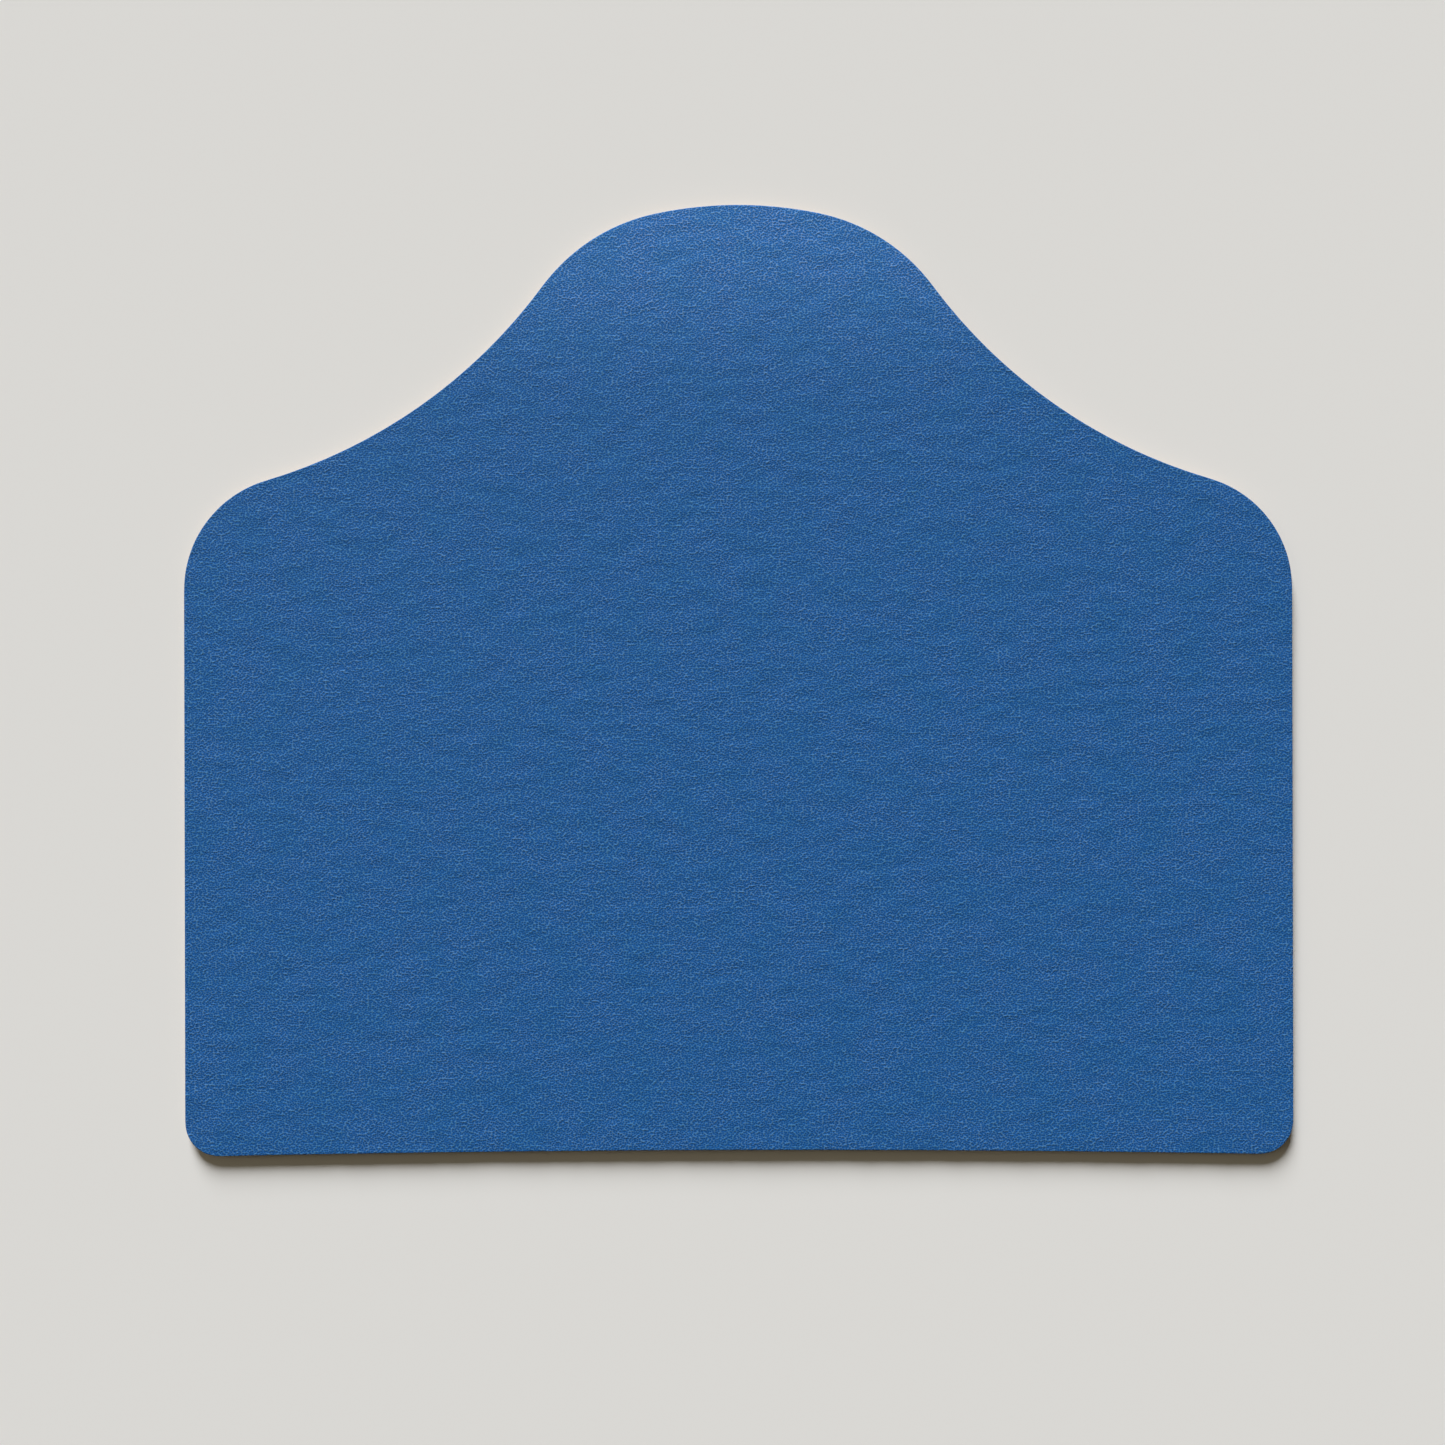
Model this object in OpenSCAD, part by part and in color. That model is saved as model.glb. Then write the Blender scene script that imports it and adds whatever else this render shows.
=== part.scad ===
// Bell-shaped table mat: a flat laminate of five flush-cut layers.
// The origin is the middle of the underside. +X runs along the width, +Y to the dome at the back, +Z up.

/* [Overall] */
// Width across the straight sides
mat_w = 400; // [370:1:480]
// Depth from the front corners to the top of the dome
mat_d = 343; // [325:1:380]

/* [Dome] */
// Radius of the crown, the broad top of the dome
crown_r = 144; // [120:1:200]
// Half of the angle that the crown spans, in degrees
crown_angle = 12; // [6:1:20]
// Radius of the haunches, where the dome turns down
haunch_r = 68; // [50:1:85]

/* [Shoulders] */
// Radius of the hollow flanks between the dome and the shoulders
flank_r = 191; // [140:1:280]
// Radius of the shoulders
shoulder_r = 41; // [25:1:55]
// Depth from the front corners to the centres of the shoulders
shoulder_d = 204.5; // [180:0.5:215]

/* [Front] */
// Radius of the front corners
corner_r = 12; // [5:1:30]
// Depth of the shallow hollow along the front edge
front_hollow = 1.8; // [0.4:0.2:4]

/* [Layers] */
// Thickness of the grained face sheet
face_t = 0.4; // [0.2:0.1:1.2]
// Thickness of each adhesive film
film_t = 0.1; // [0.05:0.05:0.3]
// Thickness of the fibre core
core_t = 2; // [1:0.1:4]
// Thickness of the backing sheet
backing_t = 0.4; // [0.2:0.1:1.2]

/* [Smoothness] */
// Number of straight steps in each arc of the outline
arc_steps = 16; // [6:1:40]

/* [Hidden] */

// Points of the outline that lie closer than this are one point
same_point = 0.001;

// Heights of the undersides of the layers above the backing
backing_film_z = backing_t;
core_z = backing_film_z + film_t;
face_film_z = core_z + core_t;
face_z = face_film_z + film_t;

// Centres of the arcs on the right half of the outline
front_y = -mat_d / 2;
side_x = mat_w / 2;
crown_c = [0, mat_d / 2 - crown_r];
haunch_c = crown_c + (crown_r - haunch_r) * [sin(crown_angle), cos(crown_angle)];
shoulder_c = [side_x - shoulder_r, front_y + shoulder_d];
flank_c = centre_touching(haunch_c, haunch_r + flank_r, shoulder_c, shoulder_r + flank_r);
corner_c = [side_x - corner_r, front_y + corner_r];

// Radius at which the hollow front edge runs smoothly into both corners
hollow_r = (pow(corner_c.x, 2) + pow(corner_r - front_hollow, 2) - pow(corner_r, 2)) / (2 * front_hollow);
hollow_c = [0, front_y + front_hollow - hollow_r];

// Directions in which neighbouring arcs touch, in degrees from +X
haunch_end = bearing(haunch_c, flank_c);
shoulder_start = bearing(shoulder_c, flank_c);
corner_end = bearing(corner_c, hollow_c);

// The point that lies da from a and db from b, on the left of the way from a to b
function centre_touching(a, da, b, db) =
    let (
        span = norm(b - a),
        way = (b - a) / span,
        along = (da * da - db * db + span * span) / (2 * span),
        across = sqrt(da * da - along * along)
    )
    a + along * way + across * [-way.y, way.x];

function bearing(from, to) = atan2(to.y - from.y, to.x - from.x);

function arc(centre, radius, from, to) =
    [for (i = [0 : arc_steps])
        let (angle = from + (to - from) * i / arc_steps)
        centre + radius * [cos(angle), sin(angle)]];

function mirrored(points) =
    [for (i = [len(points) - 1 : -1 : 0]) [-points[i].x, points[i].y]];

// The ends that neighbouring arcs share are kept once
function distinct(points) =
    [for (i = [0 : len(points) - 1])
        if (norm(points[(i + 1) % len(points)] - points[i]) > same_point) points[i]];

// Right half of the outline, from the top of the dome round to the middle of the front edge
half_outline = concat(
    arc(crown_c, crown_r, 90, 90 - crown_angle),
    arc(haunch_c, haunch_r, 90 - crown_angle, haunch_end),
    arc(flank_c, flank_r, haunch_end + 180, shoulder_start + 180),
    arc(shoulder_c, shoulder_r, shoulder_start, 0),
    arc(corner_c, corner_r, 0, corner_end),
    arc(hollow_c, hollow_r, corner_end + 180, 90)
);
outline = distinct(concat(half_outline, mirrored(half_outline)));

// One layer of the laminate, cut to the outline
module layer(bottom, thickness) {
    translate([0, 0, bottom])
        linear_extrude(thickness)
            polygon(outline);
}

module face_sheet() {
    color("#2d5b8f")
        layer(face_z, face_t);
}

module face_film() {
    color("#d8cfae")
        layer(face_film_z, film_t);
}

module core_board() {
    color("#8a6a48")
        layer(core_z, core_t);
}

module backing_film() {
    color("#d8cfae")
        layer(backing_film_z, film_t);
}

module backing_sheet() {
    color("#6b5440")
        layer(0, backing_t);
}

face_sheet();
face_film();
core_board();
backing_film();
backing_sheet();
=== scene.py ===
"""Looks of the bell-shaped table mat: five flush-cut layers round the CAD outline, on a plain floor."""
import math

import bpy
import numpy as np
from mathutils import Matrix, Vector, geometry, noise


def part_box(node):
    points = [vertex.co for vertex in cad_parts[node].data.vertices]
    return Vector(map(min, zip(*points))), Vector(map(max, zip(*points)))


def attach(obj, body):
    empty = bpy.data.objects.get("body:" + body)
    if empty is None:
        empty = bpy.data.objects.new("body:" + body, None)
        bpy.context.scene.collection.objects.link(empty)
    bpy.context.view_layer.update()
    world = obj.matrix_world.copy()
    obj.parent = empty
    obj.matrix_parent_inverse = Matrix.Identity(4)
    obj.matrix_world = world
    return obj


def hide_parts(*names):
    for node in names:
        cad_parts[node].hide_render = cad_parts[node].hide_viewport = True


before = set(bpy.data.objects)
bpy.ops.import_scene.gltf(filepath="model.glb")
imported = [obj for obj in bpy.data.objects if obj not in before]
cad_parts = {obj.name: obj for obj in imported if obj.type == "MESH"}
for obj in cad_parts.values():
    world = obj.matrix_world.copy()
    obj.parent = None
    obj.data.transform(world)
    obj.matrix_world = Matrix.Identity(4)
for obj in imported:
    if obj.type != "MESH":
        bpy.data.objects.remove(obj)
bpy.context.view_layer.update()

MM = 0.001

# Outline: spacing of its points, and the width and reach, in points, of the smoothing of its facets
EDGE_STEP = 1.0 * MM
EDGE_SMOOTHING = 1.2 * MM
EDGE_REACH = 4

# Decimals, in metres, to which corners that are the same agree
CORNER_DIGITS = 7

# Grids: spacing on the face and on flat caps, and the bare border round a grid in steps of that grid
FACE_GRID = 1.6 * MM
FLAT_GRID = 20 * MM
GRID_BORDER = 1.2

# Fill of a cap: the kind that stays inside its ring, and the gap below which two points are one
FILL_INSIDE = 1
SAME_POINT = 1e-7

# Rim of the face: radius and steps of its roll, and how far in the face starts
RIM_RADIUS = 0.22 * MM
RIM_STEPS = 5
RIM_RUN = 3 * RIM_RADIUS

# Soft waves of the face: their lengths and heights, and a shift, in waves, that sets their noise off centre
FACE_WAVES = ((55 * MM, 0.045 * MM), (22 * MM, 0.028 * MM))
WAVE_SHIFT = 7.3

# Wrinkles of the face: longer across the mat than along it, and how far their noise is turned
WRINKLE_SIZE = np.array((9.1, 5.3)) * MM
WRINKLE_TURN = math.radians(32)
WRINKLE_HEIGHT = 0.14 * MM

# Cut edges: rings of a wall, the depth and grain of its rough cut, and the groove at each adhesive film
WALL_RINGS = 9
WALL_ROUGHNESS = 0.05 * MM
WALL_GRAIN = np.array((1.6, 1.6, 0.35)) * MM
FILM_GROOVE = 0.08 * MM

# Least angle at which an edge of a mesh is shaded as sharp
SHARP_ANGLE = math.radians(40)


def outline_of(node):
    """The node's outline as seen from above: even, slightly smoothed points in order round its middle."""
    low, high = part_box(node)
    points = np.array([vertex.co[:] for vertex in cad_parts[node].data.vertices])
    upper = points[points[:, 2] > (low.z + high.z) / 2, :2]
    corners = np.unique(np.round(upper, CORNER_DIGITS), axis=0)
    corners = corners[np.argsort(np.arctan2(corners[:, 1], corners[:, 0]))]
    closed = np.vstack([corners, corners[:1]])
    travel = np.concatenate([[0], np.cumsum(np.linalg.norm(np.diff(closed, axis=0), axis=1))])
    count = round(travel[-1] / EDGE_STEP)
    stops = np.arange(count) * travel[-1] / count
    even = np.column_stack([np.interp(stops, travel, axis) for axis in closed.T])
    reach = np.arange(-EDGE_REACH, EDGE_REACH + 1)
    weights = np.exp(-0.5 * (reach * EDGE_STEP / EDGE_SMOOTHING) ** 2)
    weights /= weights.sum()
    return sum(weight * np.roll(even, -step, axis=0) for weight, step in zip(weights, reach))


def outward(ring):
    """Unit vectors that point out of a ring that runs anticlockwise."""
    along = np.roll(ring, -1, axis=0) - np.roll(ring, 1, axis=0)
    along /= np.linalg.norm(along, axis=1)[:, None]
    return np.column_stack([along[:, 1], -along[:, 0]])


def inside(points, ring):
    """Which points lie inside the ring."""
    result = np.zeros(len(points), bool)
    x, y = points.T
    for (ax, ay), (bx, by) in zip(ring, np.roll(ring, -1, axis=0)):
        if ay != by:
            crosses = (ay > y) != (by > y)
            result ^= crosses & (x < ax + (y - ay) / (by - ay) * (bx - ax))
    return result


def grid_inside(border, spacing):
    """The points of an even, staggered grid that lie inside the border."""
    low, high = border.min(axis=0), border.max(axis=0)
    xs = np.arange(low[0], high[0], spacing)
    ys = np.arange(low[1], high[1], spacing)
    grid = np.array([(x + (row % 2) * spacing / 2, y) for row, y in enumerate(ys) for x in xs])
    return grid[inside(grid, border)]


def smooth_noise(places):
    """Smooth noise from -1 to 1, at places given in units of its feature size."""
    return np.array([noise.noise(place) for place in places.tolist()])


def on_plane(xy):
    """Places in space at height zero."""
    return np.column_stack([xy, np.zeros(len(xy))])


def face_height(xy):
    """Height of the face's soft waves and wrinkles, in metres."""
    waves = sum(height * smooth_noise(on_plane(xy / size) + WAVE_SHIFT) for size, height in FACE_WAVES)
    x, y = (xy / WRINKLE_SIZE).T
    cos, sin = math.cos(WRINKLE_TURN), math.sin(WRINKLE_TURN)
    turned = np.column_stack([cos * x - sin * y, sin * x + cos * y])
    return waves + WRINKLE_HEIGHT * smooth_noise(on_plane(turned))


def wall_profile(node, groove=0.0):
    """Insets and heights of a straight wall from the node's underside to its top."""
    low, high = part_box(node)
    return [(groove, z) for z in np.linspace(low.z, high.z, WALL_RINGS)]


def rim_profile(node):
    """Insets and heights of a wall that rolls over into the node's top with a small radius."""
    low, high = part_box(node)
    roll = [
        (RIM_RADIUS * (1 - math.cos(angle)), high.z - RIM_RADIUS * (1 - math.sin(angle)))
        for angle in np.linspace(0, math.pi / 2, RIM_STEPS)
    ]
    return [(0.0, low.z), *roll, (RIM_RUN, high.z)]


def ring_at(outline, normals, inset, z, rough):
    """The outline at one step of a profile, with its rough cut."""
    ring = np.column_stack([outline - inset * normals, np.full(len(outline), z)])
    ring[:, :2] += normals * (rough * smooth_noise(ring / WALL_GRAIN))[:, None]
    return ring


def neighbours(count):
    """Pairs of neighbouring indices round a closed ring."""
    return [(i, (i + 1) % count) for i in range(count)]


def wall_faces(ring_count, count):
    """Quads between each ring and the one above it."""
    return [
        (low + i, low + j, low + count + j, low + count + i)
        for low in range(0, (ring_count - 1) * count, count)
        for i, j in neighbours(count)
    ]


def add_cap(verts, faces, ring, first, grid, turn):
    """Fills the ring, whose points start at first. Its triangles face up for a turn of 1, down for -1."""
    points = [Vector(point) for point in np.vstack([ring[:, :2], grid])]
    filled = geometry.delaunay_2d_cdt(points, neighbours(len(ring)), [], FILL_INSIDE, SAME_POINT)
    places, _, triangles, sources, _, _ = filled
    index = []
    for place, source in zip(places, sources):
        on_ring = [i for i in source if i < len(ring)]
        if on_ring:
            index.append(first + on_ring[0])
        else:
            index.append(len(verts))
            verts.append((place.x, place.y, ring[0, 2]))
    faces.extend([index[i] for i in triangle][::turn] for triangle in triangles)


def add_object(name, data):
    """A new object in the scene."""
    thing = bpy.data.objects.new(name, data)
    bpy.context.scene.collection.objects.link(thing)
    return thing


def solid(name, outline, profile, grid=FLAT_GRID, rough=0.0, wrinkled=False):
    """A closed layer: the outline at each step of the profile, and a cap at both ends."""
    normals = outward(outline)
    rings = [ring_at(outline, normals, inset, z, rough) for inset, z in profile]
    verts = [point for ring in rings for point in ring]
    faces = wall_faces(len(rings), len(outline))
    top_inset, top_z = profile[-1]
    top_first = len(verts) - len(outline)
    for ring, first, spacing, turn in ((rings[-1], top_first, grid, 1), (rings[0], 0, FLAT_GRID, -1)):
        border = outline - (top_inset + GRID_BORDER * spacing) * normals
        add_cap(verts, faces, ring, first, grid_inside(border, spacing), turn)
    verts = np.array(verts)
    if wrinkled:
        # The relief is full on the face and dies out down the rolled rim
        share = np.clip((verts[:, 2] - top_z) / RIM_RADIUS + 1, 0, None)
        verts[:, 2] += share * face_height(verts[:, :2])
    mesh = bpy.data.meshes.new(name)
    mesh.from_pydata(verts.tolist(), [], faces)
    mesh.validate()
    mesh.shade_smooth()
    mesh.set_sharp_from_angle(angle=SHARP_ANGLE)
    return add_object(name, mesh)


# Sockets of a colour mix, which share their names with those of its other kinds
MIX_FIRST = 6
MIX_SECOND = 7
MIX_RESULT = 2

# Stretches of a noise's value over which a ramp goes from one tone to the other
SOFT_SPAN = (0.3, 0.7)
CRISP_SPAN = (0.35, 0.65)
WHOLE_SPAN = (0.0, 1.0)


class Nodes:
    """A new material, and a short way to write its node tree."""

    def __init__(self, name):
        self.material = bpy.data.materials.new(name)
        self.material.use_nodes = True
        self.tree = self.material.node_tree

    def feed(self, node, values):
        """Gives each value, or another node's output, to the node's setting or input of that name."""
        for key, value in values.items():
            if hasattr(node, key):
                setattr(node, key, value)
                continue
            socket = node.inputs[key.replace("_", " ")]
            if isinstance(value, bpy.types.NodeSocket):
                self.tree.links.new(value, socket)
            else:
                socket.default_value = value

    def add(self, kind, **values):
        """A new node, fed with these values."""
        node = self.tree.nodes.new(kind)
        self.feed(node, values)
        return node

    def place(self):
        """The place of a point in the mat's own frame."""
        return self.add("ShaderNodeTexCoord").outputs["Object"]

    def mapped(self, place, **values):
        return self.add("ShaderNodeMapping", Vector=place, **values).outputs["Vector"]

    def noise(self, place, **values):
        return self.add("ShaderNodeTexNoise", Vector=place, **values).outputs["Fac"]

    def flat_noise(self, place, **values):
        """Noise that is the same at every height."""
        return self.noise(place, noise_dimensions="2D", **values)

    def bump(self, height, **values):
        return self.add("ShaderNodeBump", Height=height, **values).outputs["Normal"]

    def power(self, base, exponent):
        node = self.add("ShaderNodeMath", operation="POWER")
        self.tree.links.new(base, node.inputs[0])
        node.inputs[1].default_value = exponent
        return node.outputs["Value"]

    def ramp(self, source, span, tones):
        """A colour that goes from the first tone to the second as the source rises through the span."""
        node = self.add("ShaderNodeValToRGB", Fac=source)
        for element, position, tone in zip(node.color_ramp.elements, span, tones):
            element.position = position
            element.color = (*tone, 1)
        return node.outputs["Color"]

    def multiply(self, first, second):
        node = self.add("ShaderNodeMix", data_type="RGBA", blend_type="MULTIPLY", Factor=1.0)
        self.tree.links.new(first, node.inputs[MIX_FIRST])
        self.tree.links.new(second, node.inputs[MIX_SECOND])
        return node.outputs[MIX_RESULT]

    def shade(self, **values):
        """Feeds the material's shader and gives the finished material."""
        self.feed(self.tree.nodes["Principled BSDF"], values)
        return self.material


def greys(*values):
    """The grey tones of these values."""
    return [(value, value, value) for value in values]


# Grain of the face, per metre: small hollows ringed by ridges, and finer creases over them; their tones
# paint shade into the hollows and low creases and glints onto the ridges and crests
PEBBLE_SCALE = 1400.0
PEBBLE_STRETCH = (0.95, 1.0, 1.0)
PEBBLE_DISORDER = 0.95
PEBBLE_SHARPNESS = 1.6
PEBBLE_HEIGHT = 0.15 * MM
PEBBLE_STRENGTHS = greys(0.7, 1.0)
PEBBLE_SPAN = (0.25, 0.76)
PEBBLE_SHADE_AND_GLINT_TONES = ((0.001, 0.07, 0.288), (0.057, 0.176, 0.384))
CREASE_SCALE = 1800.0
CREASE_HEIGHT = 0.075 * MM
CREASE_SHADE_AND_GLINT = greys(0.8, 1.2)

# Ripples of the face, finer than its wrinkles
RIPPLE_SCALE = 380.0
RIPPLE_STRETCH = (0.58, 1.0, 1.0)
RIPPLE_TURN = (0, 0, math.radians(-32))
RIPPLE_HEIGHT = 0.1 * MM

# Soft patches of tone and gloss on the face, and a painted sheen that lightens its colour from the middle
# to the end of the dome
PATCH_SCALE = 70.0
PATCH_TINTS = ((0.84, 0.975, 0.98), (1.16, 1.02, 1.02))
PAINTED_SHEEN_START = 95 * MM
PAINTED_SHEEN_END = 180 * MM
PAINTED_SHEEN_TINTS = (*greys(1.0), (2.2, 1.54, 1.41))
FACE_ROUGHNESS = greys(0.81, 0.87)
FACE_SPECULAR = 0.6
FACE_SPECULAR_TINT = (0.34, 0.69, 0.98, 1)


def face_relief(nodes, place, pebbles, creases, patches):
    """Hollows that are deeper in some patches than in others, ripples, and creases over both."""
    depth = nodes.ramp(patches, SOFT_SPAN, PEBBLE_STRENGTHS)
    ripple_place = nodes.mapped(place, Rotation=RIPPLE_TURN, Scale=RIPPLE_STRETCH)
    ripples = nodes.flat_noise(ripple_place, Scale=RIPPLE_SCALE, Detail=0.5)
    hollows = nodes.power(pebbles, PEBBLE_SHARPNESS)
    relief = nodes.bump(hollows, Distance=PEBBLE_HEIGHT, Strength=depth)
    relief = nodes.bump(ripples, Distance=RIPPLE_HEIGHT, Strength=1.0, Normal=relief)
    return nodes.bump(creases, Distance=CREASE_HEIGHT, Strength=1.0, Normal=relief)


def face_colour(nodes, place, pebbles, creases, patches):
    """The grain's tones, with painted shade in its hollows and creases and painted glints on its ridges,
    tinted from patch to patch, and lightened towards the end of the dome by a painted sheen.
    """
    # Painted shade darkens the hollows and the low creases, and painted glints lighten the ridges and the
    # crests of the creases
    tone = nodes.ramp(pebbles, PEBBLE_SPAN, PEBBLE_SHADE_AND_GLINT_TONES)
    grain = nodes.multiply(tone, nodes.ramp(creases, CRISP_SPAN, CREASE_SHADE_AND_GLINT))
    # Painted sheen: a mask that rises towards the end of the dome lightens the colour there
    y = nodes.add("ShaderNodeSeparateXYZ", Vector=place).outputs["Y"]
    reach = nodes.add(
        "ShaderNodeMapRange",
        interpolation_type="SMOOTHSTEP",
        Value=y,
        From_Min=PAINTED_SHEEN_START,
        From_Max=PAINTED_SHEEN_END,
    )
    painted_sheen = nodes.ramp(reach.outputs["Result"], WHOLE_SPAN, PAINTED_SHEEN_TINTS)
    # Random patch tints, times the painted sheen towards the end of the dome
    patch_tint_and_sheen = nodes.multiply(nodes.ramp(patches, CRISP_SPAN, PATCH_TINTS), painted_sheen)
    return nodes.multiply(grain, patch_tint_and_sheen)


def face_material():
    """Blue leather with a fine pebbled grain and a satin sheen."""
    nodes = Nodes("blue_grained_leather")
    place = nodes.place()
    grain_place = nodes.mapped(place, Scale=PEBBLE_STRETCH)
    cells = nodes.add(
        "ShaderNodeTexVoronoi",
        voronoi_dimensions="2D",
        Vector=grain_place,
        Scale=PEBBLE_SCALE,
        Randomness=PEBBLE_DISORDER,
    )
    pebbles = cells.outputs["Distance"]
    creases = nodes.flat_noise(grain_place, Scale=CREASE_SCALE, Detail=2.0, Roughness=0.6)
    patches = nodes.flat_noise(place, Scale=PATCH_SCALE, Detail=3.0, Roughness=0.55)
    return nodes.shade(
        Base_Color=face_colour(nodes, place, pebbles, creases, patches),
        Normal=face_relief(nodes, place, pebbles, creases, patches),
        Roughness=nodes.ramp(patches, SOFT_SPAN, FACE_ROUGHNESS),
        Specular_IOR_Level=FACE_SPECULAR,
        Specular_Tint=FACE_SPECULAR_TINT,
    )


# Pressed fibre, per metre: flecks drawn out along the layer, broader blotches, and the tones of both fibres
FLECK_SCALE = 2600.0
FLECK_SQUEEZE = (1.0, 1.0, 3.0)
FLECK_SPAN = (0.32, 0.68)
FLECK_HEIGHT = 0.12 * MM
BLOTCH_SCALE = FLECK_SCALE / 12
BLOTCH_SHADES = greys(0.8, 1.0)
CORE_TONES = ((0.11, 0.058, 0.026), (0.34, 0.215, 0.11))
RAW_TONES = ((0.24, 0.18, 0.14), (0.46, 0.37, 0.3))

# Place of the raw leather among the materials of the face sheet
RAW_INDEX = 1


def fibre_material(name, tones):
    """Pressed fibre: long flecks of a dark and a light tone with a rough, felted surface."""
    nodes = Nodes(name)
    place = nodes.place()
    drawn = nodes.mapped(place, Scale=FLECK_SQUEEZE)
    flecks = nodes.noise(drawn, Scale=FLECK_SCALE, Detail=6.0, Roughness=0.7, Distortion=0.6)
    blotches = nodes.noise(place, Scale=BLOTCH_SCALE, Detail=3.0)
    shade = nodes.ramp(blotches, SOFT_SPAN, BLOTCH_SHADES)
    return nodes.shade(
        Base_Color=nodes.multiply(nodes.ramp(flecks, FLECK_SPAN, tones), shade),
        Normal=nodes.bump(flecks, Distance=FLECK_HEIGHT, Strength=0.8),
        Roughness=0.9,
        Specular_IOR_Level=0.25,
    )


# Backing, per metre: its nap and the broader marks of brushing it
NAP_SCALE = 900.0
NAP_HEIGHT = 0.25 * MM
NAP_TONES = ((0.07, 0.04, 0.022), (0.21, 0.13, 0.078))
NAP_SHEEN_TINT = (0.62, 0.4, 0.25, 1)
BRUSH_SCALE = 60.0
BRUSH_STRETCH = (0.7, 1.0, 1.0)
BRUSH_SHADES = greys(0.82, 1.08)


def suede_material():
    """Brushed suede: a fine nap with soft brush marks and a brown sheen."""
    nodes = Nodes("suede_backing")
    place = nodes.place()
    nap = nodes.noise(place, Scale=NAP_SCALE, Detail=5.0, Roughness=0.7, Distortion=0.8)
    brushed = nodes.mapped(place, Scale=BRUSH_STRETCH)
    marks = nodes.noise(brushed, Scale=BRUSH_SCALE, Detail=4.0, Roughness=0.6, Distortion=0.5)
    tone = nodes.ramp(nap, SOFT_SPAN, NAP_TONES)
    return nodes.shade(
        Base_Color=nodes.multiply(tone, nodes.ramp(marks, CRISP_SPAN, BRUSH_SHADES)),
        Normal=nodes.bump(nap, Distance=NAP_HEIGHT, Strength=1.0),
        Roughness=0.95,
        Specular_IOR_Level=0.1,
        Sheen_Weight=0.25,
        Sheen_Tint=NAP_SHEEN_TINT,
    )


# Adhesive: its clouds, per metre, and their tones
CLOUD_SCALE = 400.0
CLOUD_TONES = ((0.36, 0.27, 0.14), (0.55, 0.45, 0.28))


def film_material():
    """Cured amber adhesive, a little cloudy."""
    nodes = Nodes("cured_adhesive")
    clouds = nodes.noise(nodes.place(), Scale=CLOUD_SCALE, Detail=3.0)
    return nodes.shade(Base_Color=nodes.ramp(clouds, SOFT_SPAN, CLOUD_TONES), Roughness=0.45)


def dress(piece, node, slot, *materials):
    """Gives a piece its materials and puts it in the place of a CAD node."""
    for material in materials:
        piece.data.materials.append(material)
    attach(piece, "root")
    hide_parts(node)


def build_face(outline):
    """The face sheet, blue above and round the rim, with a band of raw leather along its cut edge."""
    face = solid("face_sheet_leather", outline, rim_profile("face_sheet"), FACE_GRID, wrinkled=True)
    dress(face, "face_sheet", "face", face_material(), fibre_material("raw_leather", RAW_TONES))
    for polygon in face.data.polygons[:len(outline)]:
        polygon.material_index = RAW_INDEX
    return face


def build_mat():
    """The five layers, of which the face and the backing are sheets laid on the core."""
    outline = outline_of("core_board")
    face = build_face(outline)
    core = solid("core_board_fibre", outline, wall_profile("core_board"), rough=WALL_ROUGHNESS)
    dress(core, "core_board", "core", fibre_material("bonded_fibre", CORE_TONES))
    backing = solid("backing_sheet_suede", outline, wall_profile("backing_sheet"), rough=WALL_ROUGHNESS)
    dress(backing, "backing_sheet", "backing", suede_material())
    amber = film_material()
    for node in ("face_film", "backing_film"):
        film = solid(node + "_line", outline, wall_profile(node, FILM_GROOVE))
        dress(film, node, "adhesive", amber)


# Stage: plain floor, in metres, faint fill light from all sides and plain backdrop
FLOOR_SIZE = 40.0
FLOOR_COLOUR = (0.78, 0.785, 0.785, 1)
FILL_COLOUR = (0.03, 0.025, 0.015, 1)
BACKDROP_COLOUR = (0.69, 0.685, 0.665, 1)

# Lamps: their distance, in metres, and colours
LAMP_DISTANCE = 10.0
WHITE = (1.0, 1.0, 1.0)
WARM = (1.0, 0.85, 0.6)


def build_floor():
    """A plain, pale, matt floor."""
    half = FLOOR_SIZE / 2
    mesh = bpy.data.meshes.new("floor")
    corners = [(-half, -half, 0), (half, -half, 0), (half, half, 0), (-half, half, 0)]
    mesh.from_pydata(corners, [], [(0, 1, 2, 3)])
    nodes = Nodes("pale_floor")
    mesh.materials.append(nodes.shade(Base_Color=FLOOR_COLOUR, Roughness=1.0, Specular_IOR_Level=0.0))
    add_object("floor", mesh)


def build_lamp(name, bearing, elevation, half_width, strength, colour):
    """A broad, far lamp that lights the floor evenly. Its bearing is counted from the back to the left."""
    turn, rise = math.radians(bearing), math.radians(elevation)
    away = Vector((-math.sin(turn) * math.cos(rise), math.cos(turn) * math.cos(rise), math.sin(rise)))
    data = bpy.data.lights.new(name, "SUN")
    data.angle = math.radians(2 * half_width)
    data.energy = strength
    data.color = colour
    lamp = add_object(name, data)
    lamp.location = away * LAMP_DISTANCE
    lamp.rotation_euler = (-away).to_track_quat("-Z", "Y").to_euler()


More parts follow.
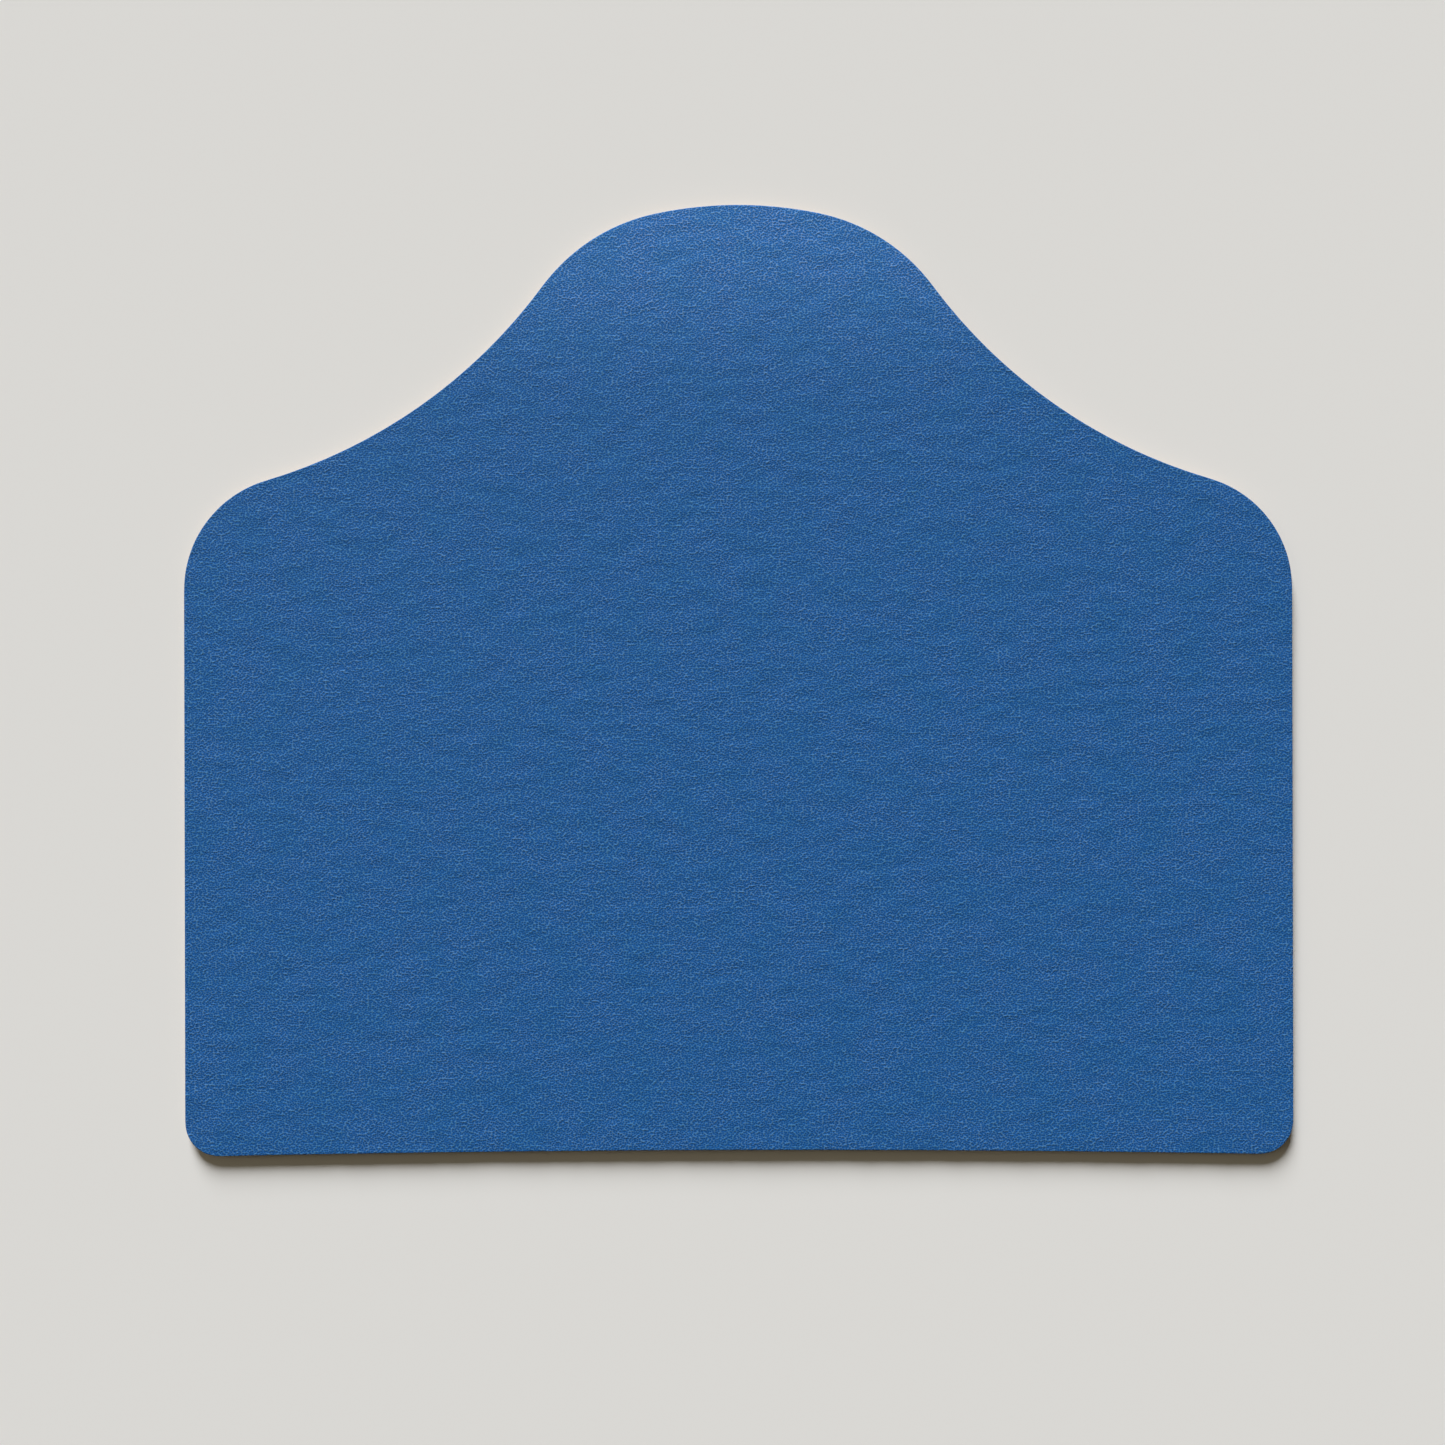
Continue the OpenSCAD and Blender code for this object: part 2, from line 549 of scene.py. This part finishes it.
def build_lamps():
    """A broad key light from the back, and weak, warm lights from above and from the left."""
    build_lamp("key", bearing=12, elevation=20.5, half_width=12, strength=6.85, colour=WHITE)
    build_lamp("top", bearing=5, elevation=65, half_width=25, strength=0.165, colour=WARM)
    build_lamp("side", bearing=78, elevation=30, half_width=18, strength=0.31, colour=WARM)


def build_world():
    """A faint fill light, and a pale backdrop that only the camera sees."""
    world = bpy.data.worlds.new("studio")
    bpy.context.scene.world = world
    world.use_nodes = True
    tree = world.node_tree
    fill = tree.nodes["Background"]
    fill.inputs["Color"].default_value = FILL_COLOUR
    backdrop = tree.nodes.new("ShaderNodeBackground")
    backdrop.inputs["Color"].default_value = BACKDROP_COLOUR
    path = tree.nodes.new("ShaderNodeLightPath")
    choose = tree.nodes.new("ShaderNodeMixShader")
    tree.links.new(path.outputs["Is Camera Ray"], choose.inputs[0])
    tree.links.new(fill.outputs[0], choose.inputs[1])
    tree.links.new(backdrop.outputs[0], choose.inputs[2])
    tree.links.new(choose.outputs[0], tree.nodes["World Output"].inputs[0])


# Photograph: its size, the mat's width and middle in its pixels, and the mat's slight turn
PHOTO_SIZE = 1445
PHOTO_MAT_W = 1108.5
PHOTO_MAT_MIDDLE = (738.4, 680.0)
PHOTO_TURN = math.radians(0.13)

# Camera: lens and sensor, in millimetres
CAMERA_LENS = 35
CAMERA_SENSOR = 36


def build_camera():
    """A camera straight above, at the height where the mat looks as wide as in the photograph."""
    low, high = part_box("face_sheet")
    pixel = (high.x - low.x) / PHOTO_MAT_W
    across = (PHOTO_SIZE / 2 - PHOTO_MAT_MIDDLE[0]) * pixel
    along = (PHOTO_MAT_MIDDLE[1] - PHOTO_SIZE / 2) * pixel
    height = PHOTO_SIZE * pixel * CAMERA_LENS / CAMERA_SENSOR
    data = bpy.data.cameras.new("camera")
    data.lens = CAMERA_LENS
    data.sensor_width = CAMERA_SENSOR
    camera = add_object("camera", data)
    camera.location = (across, along, high.z + height)
    camera.rotation_euler = (0, 0, -PHOTO_TURN)
    bpy.context.scene.camera = camera


build_mat()
build_floor()
build_lamps()
build_world()
build_camera()
bpy.context.scene.view_settings.view_transform = "Standard"
